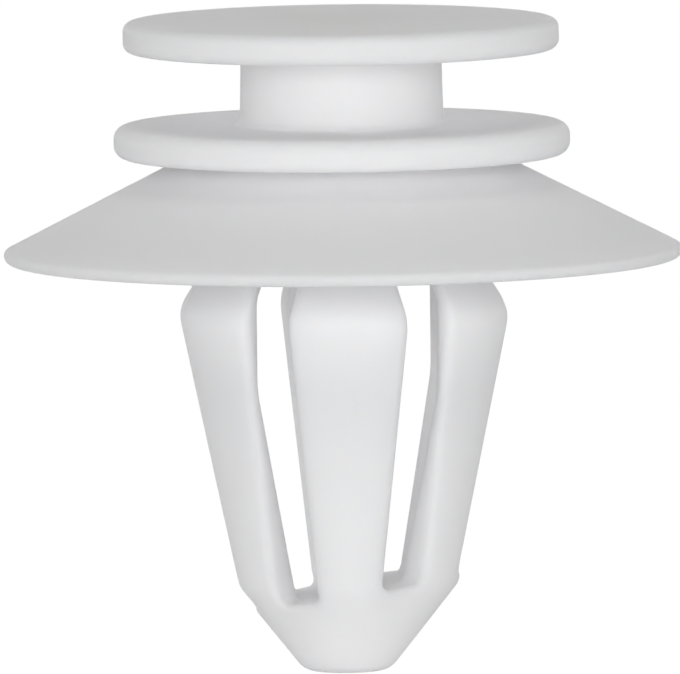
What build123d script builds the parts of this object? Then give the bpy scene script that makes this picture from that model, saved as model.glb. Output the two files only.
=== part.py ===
from build123d import *
from math import cos, hypot, radians, sin, tan
import os

# Trim clip: one nylon moulding that holds a door or pillar trim to a car's body panel

# Z is the clip's axis, with the head up. The origin lies on the axis, in the plane where
# the skirt's rim seats on the panel. One leg is centred on -Y. Lengths are in millimetres.

# Head: the disc that slides into the keyhole of the trim's pocket
head_diameter = 13.95
head_thickness = 0.97
head_edge_radius = 0.30

# Neck: the stud that stands in the keyhole, thicker towards the flange
neck_diameter = 6.42
neck_draft_deg = 1.2
neck_root_radius = 0.22
groove_width = 2.36

# Flange: the disc that closes the groove from below
flange_diameter = 14.60
flange_thickness = 1.02
flange_edge_radius = 0.40

# Skirt: the thin springy umbrella that seals round the panel's hole
skirt_diameter = 21.70
skirt_height = 3.31
skirt_slope_deg = 27.0
skirt_rim_thickness = 0.42
skirt_rim_radius = 0.19
skirt_root_thickness = 0.62

# Hub: the core that joins the flange to the legs, inside the skirt
hub_diameter = 6.40
hub_root_radius = 0.30
hub_foot_height = 1.96

# Cage: a tapered shell from the hub down to the nose, widest at its shoulder
shoulder_diameter = 10.74
shoulder_depth = 1.65
shoulder_blend_radius = 1.10
cage_root_radius = 0.60
cage_taper_deg = 11.5
cage_wall_at_shoulder = 0.86
cage_wall_at_floor = 1.35
cage_bore_depth = 1.00
cage_bore_radius = 0.80
cage_kink_depth = 3.90
cage_kink_radius = 2.00
cage_roof_height = 1.05
cage_roof_radius = 0.40

# Slots: cuts from the axis outwards that part the cage into its legs
leg_count = 6
slot_width = 1.44
slot_top_height = 0.45
slot_floor_drop = 0.17
slot_floor_tilt_deg = 9.5
slot_corner_radius = 0.30
leg_edge_radius = 0.30

# Nose: the solid cone that finds the panel's hole
nose_corner_depth = 10.42
nose_corner_radius = 0.60
nose_length = 2.80
nose_tip_diameter = 2.72
nose_tip_radius = 0.70


def reach(angle_deg, rise):
    """Sideways run of a line that leans angle_deg from the axis over a rise along it."""
    return rise * tan(radians(angle_deg))


def turned(corners, radii):
    """Turn a closed outline of (radius, height) corners, each with its own rounding."""
    outline = FilletPolyline(*corners, radius=radii, close=True)
    return revolve(Plane.XZ * make_face(outline), axis=Axis.Z)


# Levels along the axis and radii that follow from the sizes above
flange_bottom = skirt_height
flange_middle = flange_bottom + flange_thickness / 2
flange_top = flange_bottom + flange_thickness
head_bottom = flange_top + groove_width
head_top = head_bottom + head_thickness

hub_radius = hub_diameter / 2
shoulder_radius = shoulder_diameter / 2
back_slope = (shoulder_radius - hub_radius) / (hub_foot_height + shoulder_depth)
nose_radius = shoulder_radius - reach(cage_taper_deg, nose_corner_depth - shoulder_depth)
nose_depth = nose_corner_depth + nose_length
slot_floor_depth = nose_corner_depth + slot_floor_drop
floor_bore = shoulder_radius - reach(cage_taper_deg, slot_floor_depth - shoulder_depth) - cage_wall_at_floor


def spool():
    """Head, neck and flange, with the hub below them."""
    neck_radius = neck_diameter / 2
    corners = [
        (0, head_top),
        (head_diameter / 2, head_top),
        (head_diameter / 2, head_bottom),
        (neck_radius, head_bottom),
        (neck_radius + reach(neck_draft_deg, groove_width), flange_top),
        (flange_diameter / 2, flange_top),
        (flange_diameter / 2, flange_bottom),
        (hub_radius, flange_bottom),
        (hub_radius, hub_foot_height),
        (0, hub_foot_height),
    ]
    disc_edges = [head_edge_radius, head_edge_radius]
    groove_roots = [neck_root_radius, neck_root_radius]
    flange_edges = [flange_edge_radius, flange_edge_radius]
    return turned(corners, [0, *disc_edges, *groove_roots, *flange_edges, hub_root_radius, 0, 0])


def carried_up(start, end, height):
    """Point at a given height on the line from start through end."""
    return start + (end - start) * ((height - start.Y) / (end.Y - start.Y))


def skirt():
    """Umbrella that thins from its root in the flange to a rounded rim."""
    slope = radians(skirt_slope_deg)
    along = Vector(cos(slope), -sin(slope))
    across = Vector(sin(slope), cos(slope))
    half_rim = skirt_rim_thickness / 2

    rim_centre = Vector(skirt_diameter / 2 - half_rim, half_rim)
    rim_end = rim_centre + along * half_rim
    outer_rim = rim_end + across * half_rim
    inner_rim = rim_end - across * half_rim

    root_run = (flange_bottom - outer_rim.Y) / tan(slope)
    outer_root = Vector(outer_rim.X - root_run, flange_bottom)
    inner_root = outer_root - across * skirt_root_thickness

    outer_top = carried_up(outer_rim, outer_root, flange_middle)
    inner_top = carried_up(inner_rim, inner_root, flange_middle)
    return turned([outer_top, outer_rim, inner_rim, inner_top], [0, skirt_rim_radius, skirt_rim_radius, 0])


def cage_body():
    """Outside of the cage and the nose, still solid."""
    corners = [
        (0, flange_middle),
        (hub_radius, flange_middle),
        (hub_radius, hub_foot_height),
        (shoulder_radius, -shoulder_depth),
        (nose_radius, -nose_corner_depth),
        (nose_tip_diameter / 2, -nose_depth),
        (0, -nose_depth),
    ]
    blends = [cage_root_radius, shoulder_blend_radius, nose_corner_radius, nose_tip_radius]
    return turned(corners, [0, 0, *blends, 0])


def cage_hollow(depth):
    """Space inside the cage, carried down past the slots' floor to a given depth."""
    bore_radius = shoulder_radius - cage_wall_at_shoulder
    roof_radius = bore_radius - back_slope * (cage_roof_height + shoulder_depth)
    bore_taper = (bore_radius - floor_bore) / (slot_floor_depth - cage_kink_depth)
    corners = [
        (0, cage_roof_height),
        (roof_radius, cage_roof_height),
        (bore_radius, -cage_bore_depth),
        (bore_radius, -cage_kink_depth),
        (bore_radius - bore_taper * (depth - cage_kink_depth), -depth),
        (0, -depth),
    ]
    return turned(corners, [0, cage_roof_radius, cage_bore_radius, cage_kink_radius, 0, 0])


def slot(angle_deg, depth, floor):
    """One slot from the axis outwards, its floor on the given plane, its corners rounded."""
    length = shoulder_diameter
    height = slot_top_height + depth
    middle = Pos(length / 2, 0, slot_top_height - height / 2)
    blank = Rot(0, 0, angle_deg) * middle * Box(length, slot_width, height)
    cutter = split(blank, bisect_by=floor, keep=Keep.TOP)
    outwards = Vector(1, 0, 0).rotate(Axis.Z, angle_deg)
    long_edges = cutter.edges().filter_by(lambda edge: abs(edge.tangent_at(0.5).dot(outwards)) > 0.9)
    return fillet(long_edges, slot_corner_radius)


def is_mouth(edge):
    """Tell a curved edge round a slot's mouth from the edges deeper in the cage."""
    middle = edge @ 0.5
    return edge.geom_type != GeomType.LINE and hypot(middle.X, middle.Y) > floor_bore


def leg_cage():
    """Cage with its legs parted and their outer edges eased, then hollowed."""
    tilt = radians(slot_floor_tilt_deg)
    floor = Plane((0, 0, -slot_floor_depth), z_dir=(-sin(tilt), 0, cos(tilt)))
    first_slot = -90 + 180 / leg_count
    slots = [slot(first_slot + 360 / leg_count * i, nose_depth, floor) for i in range(leg_count)]

    whole = cage_body()
    parted = whole - slots
    mouths = new_edges(whole, *slots, combined=parted).filter_by(is_mouth)
    hollow = split(cage_hollow(nose_depth), bisect_by=floor, keep=Keep.TOP)
    return fillet(mouths, leg_edge_radius) - hollow


clip = spool() + skirt() + leg_cage()

os.makedirs("parts", exist_ok=True)
export_step(clip, "parts/trim_clip.step")
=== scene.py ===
"""Trim clip: one moulding in natural white nylon, dressed for a plain studio picture."""

import logging
import math
from dataclasses import dataclass

import bmesh
import bpy
from mathutils import Matrix, Vector


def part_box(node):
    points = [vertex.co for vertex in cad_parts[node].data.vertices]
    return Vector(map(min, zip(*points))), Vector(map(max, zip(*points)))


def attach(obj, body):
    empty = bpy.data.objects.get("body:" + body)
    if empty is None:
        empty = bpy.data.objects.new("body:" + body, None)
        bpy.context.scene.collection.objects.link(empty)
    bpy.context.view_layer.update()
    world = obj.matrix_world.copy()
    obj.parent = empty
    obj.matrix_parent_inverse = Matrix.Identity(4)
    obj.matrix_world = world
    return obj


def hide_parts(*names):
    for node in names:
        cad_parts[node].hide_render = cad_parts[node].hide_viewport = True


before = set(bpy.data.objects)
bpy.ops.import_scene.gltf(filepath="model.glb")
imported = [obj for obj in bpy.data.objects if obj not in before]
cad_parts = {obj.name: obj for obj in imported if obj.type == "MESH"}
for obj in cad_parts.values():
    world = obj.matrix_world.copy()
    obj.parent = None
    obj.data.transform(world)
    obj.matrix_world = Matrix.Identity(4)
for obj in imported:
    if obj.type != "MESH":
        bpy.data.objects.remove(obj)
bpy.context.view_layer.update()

NODE = "trim_clip"
IMAGE_SIZE = (680, 674)

# The moulding's sizes are in millimetres, as seen from its own axis. The scene is in metres.
MM = 0.001
FLOOR_GAP = 0.05 * MM
QUARTER = math.radians(90)

Spot = tuple[int, int]
Rim = dict[Spot, int]

log = logging.getLogger(NODE)


@dataclass(frozen=True)
class Corner:
    """Corner of a turned outline: radius and height in millimetres, and its rounding."""

    radius: float
    height: float
    rounding: float = 0.0


class Outline:
    """Rounded outline of a turned form, sampled as (radius, height) points."""

    ARC_STEP = math.radians(9)

    def __init__(self, corners: list[Corner], run_step: float) -> None:
        """Sample the outline.

        Args:
            corners: the outline's corners in order, each with its rounding.
            run_step: longest straight step between two points, in millimetres.
        """
        self.points: list[tuple[float, float]] = []
        spots = [Vector((corner.radius, corner.height)) for corner in corners]
        self._run_to(spots[0], run_step)
        for before, spot, after, corner in zip(spots, spots[1:], spots[2:], corners[1:]):
            for point in self._arc(before, spot, after, corner.rounding):
                self._run_to(point, run_step)
        self._run_to(spots[-1], run_step)

    def _arc(self, before: Vector, spot: Vector, after: Vector, rounding: float) -> list[Vector]:
        """Points of the arc that rounds one corner.

        Args:
            before: the corner before it.
            spot: the corner itself.
            after: the corner after it.
            rounding: radius of the arc, or 0 for a sharp corner.

        Returns:
            The arc's points from its first tangent point to its last.
        """
        if rounding <= 0:
            return [spot]
        inward, outward = (before - spot).normalized(), (after - spot).normalized()
        half_angle = inward.angle(outward) / 2
        centre = spot + (inward + outward).normalized() * (rounding / math.sin(half_angle))
        first = spot + inward * (rounding / math.tan(half_angle)) - centre
        turn = -1 if first.cross(inward) > 0 else 1
        sweep = math.pi - 2 * half_angle
        steps = max(2, math.ceil(sweep / self.ARC_STEP))
        return [centre + Matrix.Rotation(turn * sweep * i / steps, 2) @ first for i in range(steps + 1)]

    def _run_to(self, point: Vector, run_step: float) -> None:
        """Add a point, with steps on the straight run that leads to it.

        Args:
            point: the point to reach.
            run_step: longest step on the way.
        """
        if self.points:
            start = Vector(self.points[-1])
            steps = max(1, math.ceil((point - start).length / run_step))
            self.points += [tuple(start.lerp(point, i / steps)) for i in range(1, steps)]
        self.points.append((point.x, point.y))

    def radius_at(self, height: float) -> float:
        """Radius at a height, on an outline that only runs downwards.

        Args:
            height: height in millimetres.

        Returns:
            The outline's radius there, in millimetres.
        """
        for (radius_a, height_a), (radius_b, height_b) in zip(self.points, self.points[1:]):
            if height_b <= height <= height_a and height_a > height_b:
                share = (height_a - height) / (height_a - height_b)
                return radius_a + (radius_b - radius_a) * share
        return self.points[-1][0] if height < self.points[-1][1] else self.points[0][0]


def about_axis(radius: float, bearing: float, height: float) -> Vector:
    """Place at a radius, a bearing about the axis and a height."""
    return Vector((radius * math.cos(bearing), radius * math.sin(bearing), height))


class Net:
    """Vertices and faces of one mesh, gathered ring by ring in millimetres."""

    def __init__(self) -> None:
        """Start an empty net."""
        self.places: list[Vector] = []
        self.faces: list[tuple[int, ...]] = []

    def point(self, place: Vector) -> int:
        """Add a vertex and return its index."""
        self.places.append(place)
        return len(self.places) - 1

    def turned_ring(self, radius: float, height: float, bearings: list[float]) -> list[int]:
        """Add a level ring of vertices.

        Args:
            radius: the ring's radius.
            height: its height.
            bearings: the vertices' angles about the axis, in radians.

        Returns:
            The new vertices' indices.
        """
        return [self.point(about_axis(radius, bearing, height)) for bearing in bearings]

    def bridge(self, first: list[int], second: list[int], closed: bool = True) -> None:
        """Join two rows of as many vertices with quads.

        Args:
            first: indices of one row.
            second: indices of the other row.
            closed: whether the rows run all the way round.
        """
        count = len(first) if closed else len(first) - 1
        for i in range(count):
            j = (i + 1) % len(first)
            self.faces.append((first[i], first[j], second[j], second[i]))

    def close(self, ring: list[int], height: float) -> None:
        """Close a ring with a fan about a point on the axis.

        Args:
            ring: indices of the ring's vertices.
            height: height of the point.
        """
        centre = self.point(Vector((0, 0, height)))
        for i, corner in enumerate(ring):
            self.faces.append((corner, ring[(i + 1) % len(ring)], centre))

    def piece(self, name: str, crease: float) -> bpy.types.Object:
        """Turn the net into a smooth-shaded object.

        Args:
            name: name of the piece.
            crease: angle in radians above which an edge stays sharp.

        Returns:
            The new object, in metres.
        """
        mesh = bpy.data.meshes.new(name)
        mesh.from_pydata([place * MM for place in self.places], [], self.faces)
        shape = bmesh.new()
        shape.from_mesh(mesh)
        bmesh.ops.recalc_face_normals(shape, faces=shape.faces)
        shape.to_mesh(mesh)
        shape.free()
        mesh.shade_smooth()
        mesh.set_sharp_from_angle(angle=crease)
        piece = bpy.data.objects.new(name, mesh)
        bpy.context.scene.collection.objects.link(piece)
        return piece


@dataclass(frozen=True)
class Spool:
    """Head, neck and flange, from the head's top down to the flange's underside."""

    head_radius: float = 6.975
    head_thickness: float = 0.97
    head_edge: float = 0.30
    neck_radius: float = 3.21
    neck_base_radius: float = 3.26
    neck_root: float = 0.22
    groove_width: float = 2.36
    flange_radius: float = 7.30
    flange_thickness: float = 1.02
    flange_edge: float = 0.40

    def corners(self, head_top: float) -> list[Corner]:
        """Outline from the axis at the head's top to the flange's lower edge.

        Args:
            head_top: height of the head's top face.

        Returns:
            The outline's corners.
        """
        head_bottom = head_top - self.head_thickness
        flange_top = head_bottom - self.groove_width
        flange_bottom = flange_top - self.flange_thickness
        return [
            Corner(0, head_top),
            Corner(self.head_radius, head_top, self.head_edge),
            Corner(self.head_radius, head_bottom, self.head_edge),
            Corner(self.neck_radius, head_bottom, self.neck_root),
            Corner(self.neck_base_radius, flange_top, self.neck_root),
            Corner(self.flange_radius, flange_top, self.flange_edge),
            Corner(self.flange_radius, flange_bottom, self.flange_edge),
        ]


@dataclass(frozen=True)
class Skirt:
    """Thin umbrella between the flange and the panel, hollow underneath."""

    radius: float = 10.849
    slope: float = math.radians(27.0)
    rim_thickness: float = 0.42
    rim_edge: float = 0.19
    root_thickness: float = 0.62
    groove_root: float = 0.05

    def corners(self, flange_bottom: float) -> list[Corner]:
        """Outline from the flange's underside out to the rim and back in underneath.

        Args:
            flange_bottom: height of the flange's underside.

        Returns:
            The outline's corners.
        """
        half_rim = self.rim_thickness / 2
        along = Vector((math.cos(self.slope), -math.sin(self.slope)))
        across = Vector((math.sin(self.slope), math.cos(self.slope)))
        rim_end = Vector((self.radius - half_rim, half_rim)) + along * half_rim
        outer_rim, inner_rim = rim_end + across * half_rim, rim_end - across * half_rim
        root_run = (flange_bottom - outer_rim.y) / math.tan(self.slope)
        outer_root = Vector((outer_rim.x - root_run, flange_bottom))
        inner_root = outer_root - across * self.root_thickness
        share = (flange_bottom - inner_rim.y) / (inner_root.y - inner_rim.y)
        ceiling = inner_rim.lerp(inner_root, share)
        return [
            Corner(*outer_root, self.groove_root),
            Corner(*outer_rim, self.rim_edge),
            Corner(*inner_rim, self.rim_edge),
            Corner(*ceiling),
        ]


@dataclass(frozen=True)
class Cage:
    """Hub, tapered cage and nose: an outer skin and the hollow inside it."""

    hub_radius: float = 3.20
    hub_root: float = 0.30
    hub_foot: float = 1.96
    foot_blend: float = 0.60
    shoulder_radius: float = 5.37
    shoulder_depth: float = 1.65
    shoulder_blend: float = 1.10
    taper: float = math.radians(11.5)
    wall_at_shoulder: float = 0.86
    wall_at_floor: float = 1.35
    bore_depth: float = 1.00
    bore_blend: float = 0.80
    kink_depth: float = 3.90
    kink_blend: float = 2.00
    roof_height: float = 1.05
    roof_blend: float = 0.40
    nose_corner_depth: float = 10.42
    nose_corner_blend: float = 0.60
    nose_tip_radius: float = 1.36
    nose_tip_blend: float = 0.70
    hollow_step: float = 0.50

    def skin_radius(self, depth: float) -> float:
        """Radius of the tapered skin at a depth below the shoulder's corner."""
        return self.shoulder_radius - (depth - self.shoulder_depth) * math.tan(self.taper)

    def corners(self, flange_bottom: float, nose_depth: float) -> list[Corner]:
        """Outline of the skin from the flange's underside to the nose's tip.

        Args:
            flange_bottom: height of the flange's underside, where the hub starts.
            nose_depth: depth of the nose's tip.

        Returns:
            The outline's corners.
        """
        nose_radius = self.skin_radius(self.nose_corner_depth)
        return [
            Corner(self.hub_radius, flange_bottom, self.hub_root),
            Corner(self.hub_radius, self.hub_foot, self.foot_blend),
            Corner(self.shoulder_radius, -self.shoulder_depth, self.shoulder_blend),
            Corner(nose_radius, -self.nose_corner_depth, self.nose_corner_blend),
            Corner(self.nose_tip_radius, -nose_depth, self.nose_tip_blend),
            Corner(0, -nose_depth),
        ]

    def hollow(self, floor_depth: float, depth: float) -> Outline:
        """Outline of the hollow from the axis at its roof down to a given depth.

        Args:
            floor_depth: depth of the slots' floor on the axis, where the lower wall is measured.
            depth: how far down the outline runs.

        Returns:
            The sampled outline.
        """
        bore = self.shoulder_radius - self.wall_at_shoulder
        back_slope = (self.shoulder_radius - self.hub_radius) / (self.hub_foot + self.shoulder_depth)
        roof_radius = bore - back_slope * (self.roof_height + self.shoulder_depth)
        floor_bore = self.skin_radius(floor_depth) - self.wall_at_floor
        bore_taper = (bore - floor_bore) / (floor_depth - self.kink_depth)
        corners = [
            Corner(0, self.roof_height),
            Corner(roof_radius, self.roof_height, self.roof_blend),
            Corner(bore, -self.bore_depth, self.bore_blend),
            Corner(bore, -self.kink_depth, self.kink_blend),
            Corner(bore - bore_taper * (depth - self.kink_depth), -depth),
        ]
        return Outline(corners, self.hollow_step)


@dataclass(frozen=True)
class Slots:
    """The slots that part the cage into legs, and the mesh's rows and columns there."""

    count: int = 6
    width: float = 1.44
    top: float = 0.45
    floor_depth: float = 10.59
    floor_tilt: float = math.radians(9.5)
    corner: float = 0.30
    outer_edge: float = 0.30
    inner_edge: float = 0.06

    # How finely the mesh follows them
    rows: int = 76
    across: int = 10
    leg_columns: int = 28
    edge_steps: int = 5
    wall_steps: int = 4
    inner_edge_steps: int = 2
    arc_steps: int = 2
    search_rounds: int = 5

    def bearing(self, index: int) -> float:
        """Angle about the axis of one slot's middle; a leg stands on -Y."""
        return -QUARTER + math.tau * (index + 0.5) / self.count

    def floor_height(self, x: float) -> float:
        """Height of the tilted floor above a place along X."""
        return -self.floor_depth + x * math.tan(self.floor_tilt)

    def rim(self, row: int, column: int, height: float) -> tuple[float, float, float, float]:
        """Point on the rounded rectangle that is the slot's cross-section.

        Args:
            row: mesh row, 0 at the top and the last at the floor.
            column: mesh column across the slot, 0 at its first side.
            height: height of the rectangle.

        Returns:
            Sideways place, depth below the top, and the two parts of the outward normal.
        """
        sideways = -1 if column <= self.arc_steps else 1
        downwards = -1 if row <= self.arc_steps else 1
        from_side = min(column, self.across - column)
        from_end = min(row, self.rows - row)
        flat_half, half_height = self.width / 2 - self.corner, height / 2
        if from_side == 0 and from_end >= self.arc_steps:
            share = (row - self.arc_steps) / (self.rows - 2 * self.arc_steps)
            drop = self.corner + share * (height - 2 * self.corner)
            return sideways * self.width / 2, drop, sideways, 0
        if from_end == 0 and from_side >= self.arc_steps:
            share = (column - self.arc_steps) / (self.across - 2 * self.arc_steps)
            drop = half_height + downwards * half_height
            return (2 * share - 1) * flat_half, drop, 0, downwards
        step = self.arc_steps - from_end + from_side
        angle = QUARTER * step / (2 * self.arc_steps)
        normal = (sideways * math.cos(angle), downwards * math.sin(angle))
        centre = (sideways * flat_half, half_height + downwards * (half_height - self.corner))
        return centre[0] + self.corner * normal[0], centre[1] + self.corner * normal[1], *normal

    def place(self, index: int, spot: Spot, surface: Outline, outset: float, inset: float) -> Vector:
        """Place of a vertex on a slot's wall, at or near the skin or the hollow.

        Args:
            index: which slot.
            spot: the vertex's row and column on the slot's rim.
            surface: outline of the skin or of the hollow.
            outset: distance from the wall into the leg.
            inset: distance from the surface towards the axis, or away from it if negative.

        Returns:
            The place in millimetres.
        """
        bearing = self.bearing(index)
        # The search for where the wall meets the surface starts halfway down the slot
        outwards = surface.radius_at(-self.floor_depth / 2)
        place = Vector()
        for _ in range(self.search_rounds):
            height = self.top - self.floor_height(outwards * math.cos(bearing))
            side, drop, normal_side, normal_drop = self.rim(*spot, height)
            side += normal_side * outset
            drop += normal_drop * outset
            # The tilted floor also leans across the slot, and the rows above it follow
            lean = -math.tan(self.floor_tilt) * math.sin(bearing) * side
            level = self.top - drop + lean * drop / height
            outwards = math.sqrt(surface.radius_at(level) ** 2 - side ** 2) - inset
            place = Vector((outwards, side, level))
        return Matrix.Rotation(bearing, 3, "Z") @ place


class Moulding:
    """The whole clip as one closed mesh: skin, hollow and the slots between them."""

    # Longest and shortest step down the skin, in millimetres
    SKIN_STEP = 0.45
    LEAST_STEP = 0.15

    # Rows from the slots' tilted foot to a level ring on the nose, and how far below it lies
    BLEND_ROWS = 9
    BLEND_DROP = 1.20

    # Room above a slot's top before the first level ring, in radii of its eased edge
    CLEAR_EDGES = 2

    FLOOR_RINGS = 5
    CREASE = math.radians(32)

    def __init__(self, spool: Spool, skirt: Skirt, cage: Cage, slots: Slots) -> None:
        """Take the sizes of the parts of the moulding.

        Args:
            spool: head, neck and flange.
            skirt: the umbrella.
            cage: hub, cage and nose.
            slots: the slots and their mesh rows.
        """
        low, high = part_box(NODE)
        self.head_top = high[2] / MM
        self.nose_depth = -low[2] / MM
        self.slots = slots
        flange_bottom = self.head_top - spool.head_thickness - spool.groove_width - spool.flange_thickness
        upper = spool.corners(self.head_top) + skirt.corners(flange_bottom)
        lower = cage.corners(flange_bottom, self.nose_depth)
        self.skin = Outline(upper + lower, self.SKIN_STEP)
        self.cage_skin = Outline(lower, self.SKIN_STEP)
        self.hollow = cage.hollow(slots.floor_depth, self.nose_depth)
        self.net = Net()

    def rim_loop(self) -> list[Spot]:
        """Rows and columns round a slot: down one side, along the floor, up and back."""
        rows, across = self.slots.rows, self.slots.across
        down = [(row, 0) for row in range(rows + 1)]
        along = [(rows, column) for column in range(1, across)]
        up = [(row, across) for row in range(rows, -1, -1)]
        back = [(0, column) for column in range(across - 1, 0, -1)]
        return down + along + up + back

    def tube(self, index: int) -> tuple[Rim, Rim]:
        """Walls of one slot, from its eased mouth in the skin to the hollow.

        Args:
            index: which slot.

        Returns:
            Vertex indices by row and column, at the skin and at the hollow.
        """
        slots, loop = self.slots, self.rim_loop()
        rings: list[list[Vector]] = []
        for step in range(slots.edge_steps + 1):
            angle = QUARTER * step / slots.edge_steps
            outset = slots.outer_edge * (1 - math.sin(angle))
            inset = slots.outer_edge * (1 - math.cos(angle))
            rings.append([slots.place(index, spot, self.cage_skin, outset, inset) for spot in loop])
        inner: list[list[Vector]] = []
        for step in range(slots.inner_edge_steps + 1):
            angle = QUARTER * step / slots.inner_edge_steps
            ring = []
            for spot in loop:
                # The slot's floor runs straight on into the hollow's, with no edge to ease
                away_from_floor = 1 - max(0, slots.rim(*spot, slots.floor_depth)[3])
                outset = slots.inner_edge * away_from_floor * (1 - math.cos(angle))
                inset = -slots.inner_edge * (1 - math.sin(angle))
                ring.append(slots.place(index, spot, self.hollow, outset, inset))
            inner.append(ring)
        for step in range(1, slots.wall_steps):
            share = step / slots.wall_steps
            rings.append([a.lerp(b, share) for a, b in zip(rings[slots.edge_steps], inner[0])])
        rows = [[self.net.point(place) for place in ring] for ring in rings + inner]
        for first, second in zip(rows, rows[1:]):
            self.net.bridge(first, second)
        return dict(zip(loop, rows[0])), dict(zip(loop, rows[-1]))

    def leg_rows(self, rims: list[Rim], surface: Outline) -> list[list[int]]:
        """Rows of vertices over the legs, with the slots' rims among them.

        Args:
            rims: vertex indices round each slot.
            surface: outline that the rows lie on.

        Returns:
            The top row and the bottom row, all the way round.
        """
        slots = self.slots
        ends: list[list[int]] = []
        previous: list[list[int]] = []
        for row in range(slots.rows + 1):
            spans = []
            for leg in range(slots.count):
                first = rims[leg - 1][(row, slots.across)]
                last = rims[leg][(row, 0)]
                spans.append(self.span(first, last, surface))
            for before, after in zip(previous, spans):
                self.net.bridge(before, after, closed=False)
            previous = spans
            if row in (0, slots.rows):
                ring = []
                for leg, span in enumerate(spans):
                    ring += span + [rims[leg][(row, column)] for column in range(1, slots.across)]
                ends.append(ring)
        return ends

    def span(self, first: int, last: int, surface: Outline) -> list[int]:
        """Vertices across one leg between two that exist.

        Args:
            first: index at the leg's first edge.
            last: index at its last edge.
            surface: outline that the vertices lie on.

        Returns:
            Indices from first to last.
        """
        start, end = self.net.places[first], self.net.places[last]
        from_bearing = math.atan2(start.y, start.x)
        turn = (math.atan2(end.y, end.x) - from_bearing) % math.tau
        row = [first]
        for column in range(1, self.slots.leg_columns):
            share = column / self.slots.leg_columns
            level = start.z + (end.z - start.z) * share
            place = about_axis(surface.radius_at(level), from_bearing + turn * share, level)
            row.append(self.net.point(place))
        return row + [last]

    def bearings(self, ring: list[int]) -> list[float]:
        """Angles about the axis of a ring's vertices."""
        return [math.atan2(self.net.places[i].y, self.net.places[i].x) for i in ring]

    def cover(self, ring: list[int], points: list[tuple[float, float]]) -> None:
        """Carry a ring along turned points to the axis, where it closes.

        Args:
            ring: the vertices to start from.
            points: (radius, height) points, the last of them on the axis.
        """
        bearings = self.bearings(ring)
        for radius, height in points[:-1]:
            following = self.net.turned_ring(radius, height, bearings)
            self.net.bridge(ring, following)
            ring = following
        self.net.close(ring, points[-1][1])

    def nose(self, ring: list[int]) -> None:
        """Cover the nose from the slots' tilted foot to its tip.

        Args:
            ring: the bottom row of the legs' skin.
        """
        level_height = -self.slots.floor_depth - self.BLEND_DROP
        bearings = self.bearings(ring)
        start = [self.net.places[i].z for i in ring]
        for step in range(1, self.BLEND_ROWS + 1):
            share = step / self.BLEND_ROWS
            following = []
            for bearing, height in zip(bearings, start):
                level = height + (level_height - height) * share
                place = about_axis(self.cage_skin.radius_at(level), bearing, level)
                following.append(self.net.point(place))
            self.net.bridge(ring, following)
            ring = following
        rest = [point for point in self.cage_skin.points if point[1] < level_height - self.LEAST_STEP]
        self.cover(ring, rest)

    def floor(self, ring: list[int]) -> None:
        """Cover the hollow's tilted floor.

        Args:
            ring: the bottom row of the hollow.
        """
        starts = [self.net.places[i] for i in ring]
        for step in range(1, self.FLOOR_RINGS):
            share = 1 - step / self.FLOOR_RINGS
            following = []
            for start in starts:
                x, y = start.x * share, start.y * share
                following.append(self.net.point(Vector((x, y, self.slots.floor_height(x)))))
            self.net.bridge(ring, following)
            ring = following
        self.net.close(ring, self.slots.floor_height(0))

    def build(self) -> bpy.types.Object:
        """Make the moulding's mesh.

        Returns:
            The moulding as one object.
        """
        tubes = [self.tube(index) for index in range(self.slots.count)]
        skin_top, skin_bottom = self.leg_rows([outer for outer, _ in tubes], self.cage_skin)
        hollow_top, hollow_bottom = self.leg_rows([inner for _, inner in tubes], self.hollow)
        skin_clear = self.slots.top + self.CLEAR_EDGES * self.slots.outer_edge
        lowest_clear = max(i for i, point in enumerate(self.skin.points) if point[1] > skin_clear)
        self.cover(skin_top, self.skin.points[lowest_clear::-1])
        self.nose(skin_bottom)
        roof_clear = self.slots.top + self.CLEAR_EDGES * self.slots.inner_edge
        roof = [point for point in self.hollow.points if point[1] > roof_clear]
        self.cover(hollow_top, roof[::-1])
        self.floor(hollow_bottom)
        return self.net.piece("nylon_moulding", self.CREASE)


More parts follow.
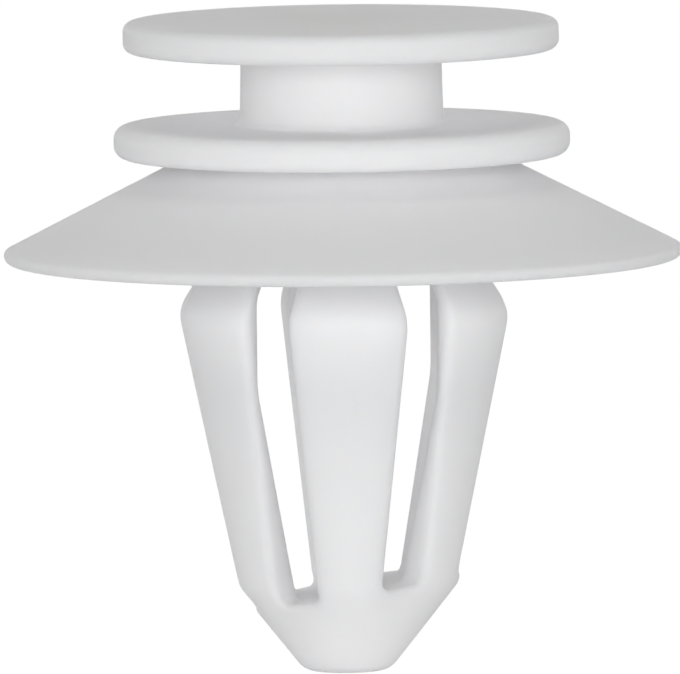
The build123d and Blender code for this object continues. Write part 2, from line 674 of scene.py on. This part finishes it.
@dataclass(frozen=True)
class NylonFinish:
    """Natural nylon: satin, cloudy and a little translucent."""

    tint: tuple[float, float, float] = (0.93, 0.925, 0.955)
    warm_tint: tuple[float, float, float] = (0.945, 0.94, 0.945)
    cloud_size: float = 2.6 * MM
    grain_size: float = 0.09 * MM
    grain_depth: float = 0.004 * MM
    wave_size: float = 1.7 * MM
    wave_depth: float = 0.010 * MM
    shine: float = 0.20
    roughness: tuple[float, float] = (0.56, 0.68)
    refraction: float = 1.53
    scatter: float = 1.0
    scatter_depth: float = 1.6 * MM
    scatter_tint: tuple[float, float, float] = (1.0, 0.95, 0.90)

    def material(self) -> bpy.types.Material:
        """Build the node material.

        Returns:
            The nylon material.
        """
        material = bpy.data.materials.new("natural_nylon")
        material.use_nodes = True
        nodes, links = material.node_tree.nodes, material.node_tree.links
        shader = nodes["Principled BSDF"]
        shader.inputs["IOR"].default_value = self.refraction
        shader.inputs["Specular IOR Level"].default_value = self.shine
        shader.inputs["Subsurface Weight"].default_value = self.scatter
        shader.inputs["Subsurface Radius"].default_value = self.scatter_tint
        shader.inputs["Subsurface Scale"].default_value = self.scatter_depth

        place = nodes.new("ShaderNodeTexCoord")
        clouds = self.noise(nodes, links, place, self.cloud_size, detail=3.0)
        tints = nodes.new("ShaderNodeMix")
        tints.data_type = "RGBA"
        tints.inputs["A"].default_value = (*self.tint, 1)
        tints.inputs["B"].default_value = (*self.warm_tint, 1)
        links.new(clouds.outputs["Fac"], tints.inputs["Factor"])
        links.new(tints.outputs["Result"], shader.inputs["Base Color"])

        rough = nodes.new("ShaderNodeMapRange")
        rough.inputs["To Min"].default_value = self.roughness[0]
        rough.inputs["To Max"].default_value = self.roughness[1]
        waves = self.noise(nodes, links, place, self.wave_size, detail=2.0)
        links.new(waves.outputs["Fac"], rough.inputs["Value"])
        links.new(rough.outputs["Result"], shader.inputs["Roughness"])

        wave_bump = self.bump(nodes, links, waves, self.wave_depth)
        grain = self.noise(nodes, links, place, self.grain_size, detail=4.0)
        grain_bump = self.bump(nodes, links, grain, self.grain_depth)
        links.new(wave_bump.outputs["Normal"], grain_bump.inputs["Normal"])
        links.new(grain_bump.outputs["Normal"], shader.inputs["Normal"])
        return material

    @staticmethod
    def noise(
        nodes: bpy.types.Nodes, links: bpy.types.NodeLinks, place: bpy.types.Node, size: float, detail: float
    ) -> bpy.types.Node:
        """Add a noise texture in the object's own space.

        Args:
            nodes: the material's nodes.
            links: the material's links.
            place: the texture coordinate node.
            size: size of one blotch in metres.
            detail: how much finer detail it has.

        Returns:
            The noise node.
        """
        texture = nodes.new("ShaderNodeTexNoise")
        texture.inputs["Scale"].default_value = 1 / size
        texture.inputs["Detail"].default_value = detail
        links.new(place.outputs["Object"], texture.inputs["Vector"])
        return texture

    @staticmethod
    def bump(
        nodes: bpy.types.Nodes, links: bpy.types.NodeLinks, height: bpy.types.Node, depth: float
    ) -> bpy.types.Node:
        """Add a bump node on a height texture.

        Args:
            nodes: the material's nodes.
            links: the material's links.
            height: the texture node that gives the height.
            depth: full depth of the relief in metres.

        Returns:
            The bump node.
        """
        bump = nodes.new("ShaderNodeBump")
        bump.inputs["Distance"].default_value = depth
        links.new(height.outputs["Fac"], bump.inputs["Height"])
        return bump


def direction(bearing: float, elevation: float) -> Vector:
    """Direction from the object, bearing 0 being straight in front of it.

    Args:
        bearing: angle about the axis, to the right if it is positive.
        elevation: angle above the level.

    Returns:
        The unit vector.
    """
    level = math.cos(elevation)
    return Vector((math.sin(bearing) * level, -math.cos(bearing) * level, math.sin(elevation)))


@dataclass(frozen=True)
class Lamp:
    """Small soft lamp that faces the object; its power is in watts."""

    name: str
    power: float
    bearing: float
    elevation: float
    size: float = 0.20
    distance: float = 0.50

    def hang(self) -> None:
        """Add the lamp to the scene."""
        lamp = bpy.data.lights.new(self.name, "AREA")
        lamp.shape = "DISK"
        lamp.size = self.size
        lamp.energy = self.power
        holder = bpy.data.objects.new(self.name, lamp)
        bpy.context.scene.collection.objects.link(holder)
        away = direction(self.bearing, self.elevation)
        holder.location = away * self.distance
        holder.rotation_mode = "QUATERNION"
        holder.rotation_quaternion = away.to_track_quat("Z", "Y")


@dataclass(frozen=True)
class Studio:
    """Plain white studio: floor, world, lamps and the camera."""

    LAMPS = (
        Lamp("key", 1.50, math.radians(-4.0), math.radians(4.0)),
        Lamp("fill", 0.14, math.radians(45.0), math.radians(6.0)),
        Lamp("top", 0.34, 0.0, math.radians(70.0)),
    )

    # Floor: how it looks, and what it throws back at the object
    floor_reach: float = 4.0
    seen_grey: float = 0.30
    seen_glow: float = 0.90
    bounce_grey: float = 0.80
    bounce_glow: float = 0.14

    # Glow of the horizon behind the object
    back_glow: float = 1.74

    # Camera, and the width that it takes in where the object stands
    view_reach: float = 20.0
    camera_distance: float = 0.90
    camera_elevation: float = math.radians(4.95)
    camera_bearing: float = math.radians(-1.6)
    camera_roll: float = math.radians(-0.63)
    picture_width: float = 21.76 * MM
    axis_column: float = 344.0
    aim_height: float = -2.52 * MM

    def build(self, floor_height: float) -> None:
        """Set up floor, light and camera.

        Args:
            floor_height: height of the floor in metres.
        """
        self.floor(floor_height)
        self.world()
        for lamp in self.LAMPS:
            lamp.hang()
        self.camera()

    def floor(self, height: float) -> None:
        """Lay the pale floor.

        Args:
            height: its height in metres.
        """
        mesh = bpy.data.meshes.new("floor")
        reach = self.floor_reach
        corners = [(x * reach, y * reach, height) for x, y in ((-1, -1), (1, -1), (1, 1), (-1, 1))]
        mesh.from_pydata(corners, [], [(0, 1, 2, 3)])
        floor = bpy.data.objects.new("floor", mesh)
        bpy.context.scene.collection.objects.link(floor)
        mesh.materials.append(self.floor_white())

    def floor_white(self) -> bpy.types.Material:
        """Build a white that shows the shadow on it but throws little light on the object.

        Returns:
            The floor's material.
        """
        material = bpy.data.materials.new("floor_white")
        material.use_nodes = True
        nodes, links = material.node_tree.nodes, material.node_tree.links
        nodes.remove(nodes["Principled BSDF"])
        choice = nodes.new("ShaderNodeMixShader")
        links.new(self.seen_directly(nodes, links), choice.inputs[0])
        links.new(self.glowing_matt(nodes, links, self.bounce_grey, self.bounce_glow), choice.inputs[1])
        links.new(self.glowing_matt(nodes, links, self.seen_grey, self.seen_glow), choice.inputs[2])
        links.new(choice.outputs["Shader"], nodes["Material Output"].inputs["Surface"])
        return material

    @staticmethod
    def glowing_matt(
        nodes: bpy.types.Nodes, links: bpy.types.NodeLinks, grey: float, glow: float
    ) -> bpy.types.NodeSocket:
        """Add a matt grey that also glows white.

        Args:
            nodes: the material's nodes.
            links: the material's links.
            grey: how pale the matt is.
            glow: strength of the glow.

        Returns:
            The socket of the two together.
        """
        matt = nodes.new("ShaderNodeBsdfDiffuse")
        matt.inputs["Color"].default_value = (grey, grey, grey, 1)
        light = nodes.new("ShaderNodeEmission")
        light.inputs["Strength"].default_value = glow
        both = nodes.new("ShaderNodeAddShader")
        links.new(matt.outputs["BSDF"], both.inputs[0])
        links.new(light.outputs["Emission"], both.inputs[1])
        return both.outputs["Shader"]

    @staticmethod
    def seen_directly(nodes: bpy.types.Nodes, links: bpy.types.NodeLinks) -> bpy.types.NodeSocket:
        """Tell camera, mirror and see-through rays from the light's own.

        Args:
            nodes: nodes of a material or the world.
            links: their links.

        Returns:
            A socket that is 1 for those rays.
        """
        path = nodes.new("ShaderNodeLightPath")
        total = path.outputs["Is Camera Ray"]
        for name in ("Is Glossy Ray", "Is Transmission Ray"):
            either = nodes.new("ShaderNodeMath")
            either.operation = "MAXIMUM"
            links.new(total, either.inputs[0])
            links.new(path.outputs[name], either.inputs[1])
            total = either.outputs["Value"]
        return total

    def world(self) -> None:
        """Light the scene from behind, most of all from the horizon, and show plain white."""
        world = bpy.data.worlds.new("studio")
        bpy.context.scene.world = world
        world.use_nodes = True
        nodes, links = world.node_tree.nodes, world.node_tree.links
        light = nodes["Background"]
        light.inputs["Color"].default_value = (1, 1, 1, 1)
        place = nodes.new("ShaderNodeTexCoord")
        axes = nodes.new("ShaderNodeSeparateXYZ")
        around = nodes.new("ShaderNodeMapRange")
        around.inputs["From Min"].default_value = -1
        around.inputs["To Max"].default_value = self.back_glow
        upwards = nodes.new("ShaderNodeMapRange")
        upwards.inputs["To Min"].default_value = 1
        upwards.inputs["To Max"].default_value = 0
        strength = nodes.new("ShaderNodeMath")
        strength.operation = "MULTIPLY"
        links.new(place.outputs["Generated"], axes.inputs["Vector"])
        links.new(axes.outputs["Y"], around.inputs["Value"])
        links.new(axes.outputs["Z"], upwards.inputs["Value"])
        links.new(around.outputs["Result"], strength.inputs[0])
        links.new(upwards.outputs["Result"], strength.inputs[1])
        links.new(strength.outputs["Value"], light.inputs["Strength"])
        backdrop = nodes.new("ShaderNodeBackground")
        backdrop.inputs["Color"].default_value = (1, 1, 1, 1)
        backdrop.inputs["Strength"].default_value = 1
        choice = nodes.new("ShaderNodeMixShader")
        links.new(self.seen_directly(nodes, links), choice.inputs[0])
        links.new(light.outputs["Background"], choice.inputs[1])
        links.new(backdrop.outputs["Background"], choice.inputs[2])
        links.new(choice.outputs["Shader"], nodes["World Output"].inputs["Surface"])

    def camera(self) -> None:
        """Place the camera nearly level in front of the clip, on a long lens."""
        lens = bpy.data.cameras.new("camera")
        camera = bpy.data.objects.new("camera", lens)
        bpy.context.scene.collection.objects.link(camera)
        back = direction(self.camera_bearing, self.camera_elevation)
        facing = back.to_track_quat("Z", "Y").to_matrix().to_4x4()
        rolled = facing @ Matrix.Rotation(self.camera_roll, 4, "Z")
        pixel = self.picture_width / IMAGE_SIZE[0]
        sideways = (IMAGE_SIZE[0] / 2 - self.axis_column) * pixel
        aim = Vector((0, 0, self.aim_height)) + rolled.to_3x3() @ Vector((sideways, 0, 0))
        camera.matrix_world = Matrix.Translation(aim + back * self.camera_distance) @ rolled
        lens.lens = lens.sensor_width * self.camera_distance / self.picture_width
        lens.clip_end = self.view_reach
        bpy.context.scene.camera = camera


def main() -> None:
    """Build the clip, dress it and set up the studio."""
    logging.basicConfig(level=logging.INFO, format="%(name)s: %(message)s")
    bpy.context.scene.view_settings.view_transform = "Standard"
    piece = Moulding(Spool(), Skirt(), Cage(), Slots()).build()
    piece.data.materials.append(NylonFinish().material())
    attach(piece, "root")
    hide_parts(NODE)
    log.info("%s: %d faces", piece.name, len(piece.data.polygons))
    studio = Studio()
    studio.build(floor_height=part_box(NODE)[0][2] - FLOOR_GAP)
    log.info("studio: floor, %d lamps and camera", len(studio.LAMPS))


if __name__ == "__main__":
    main()
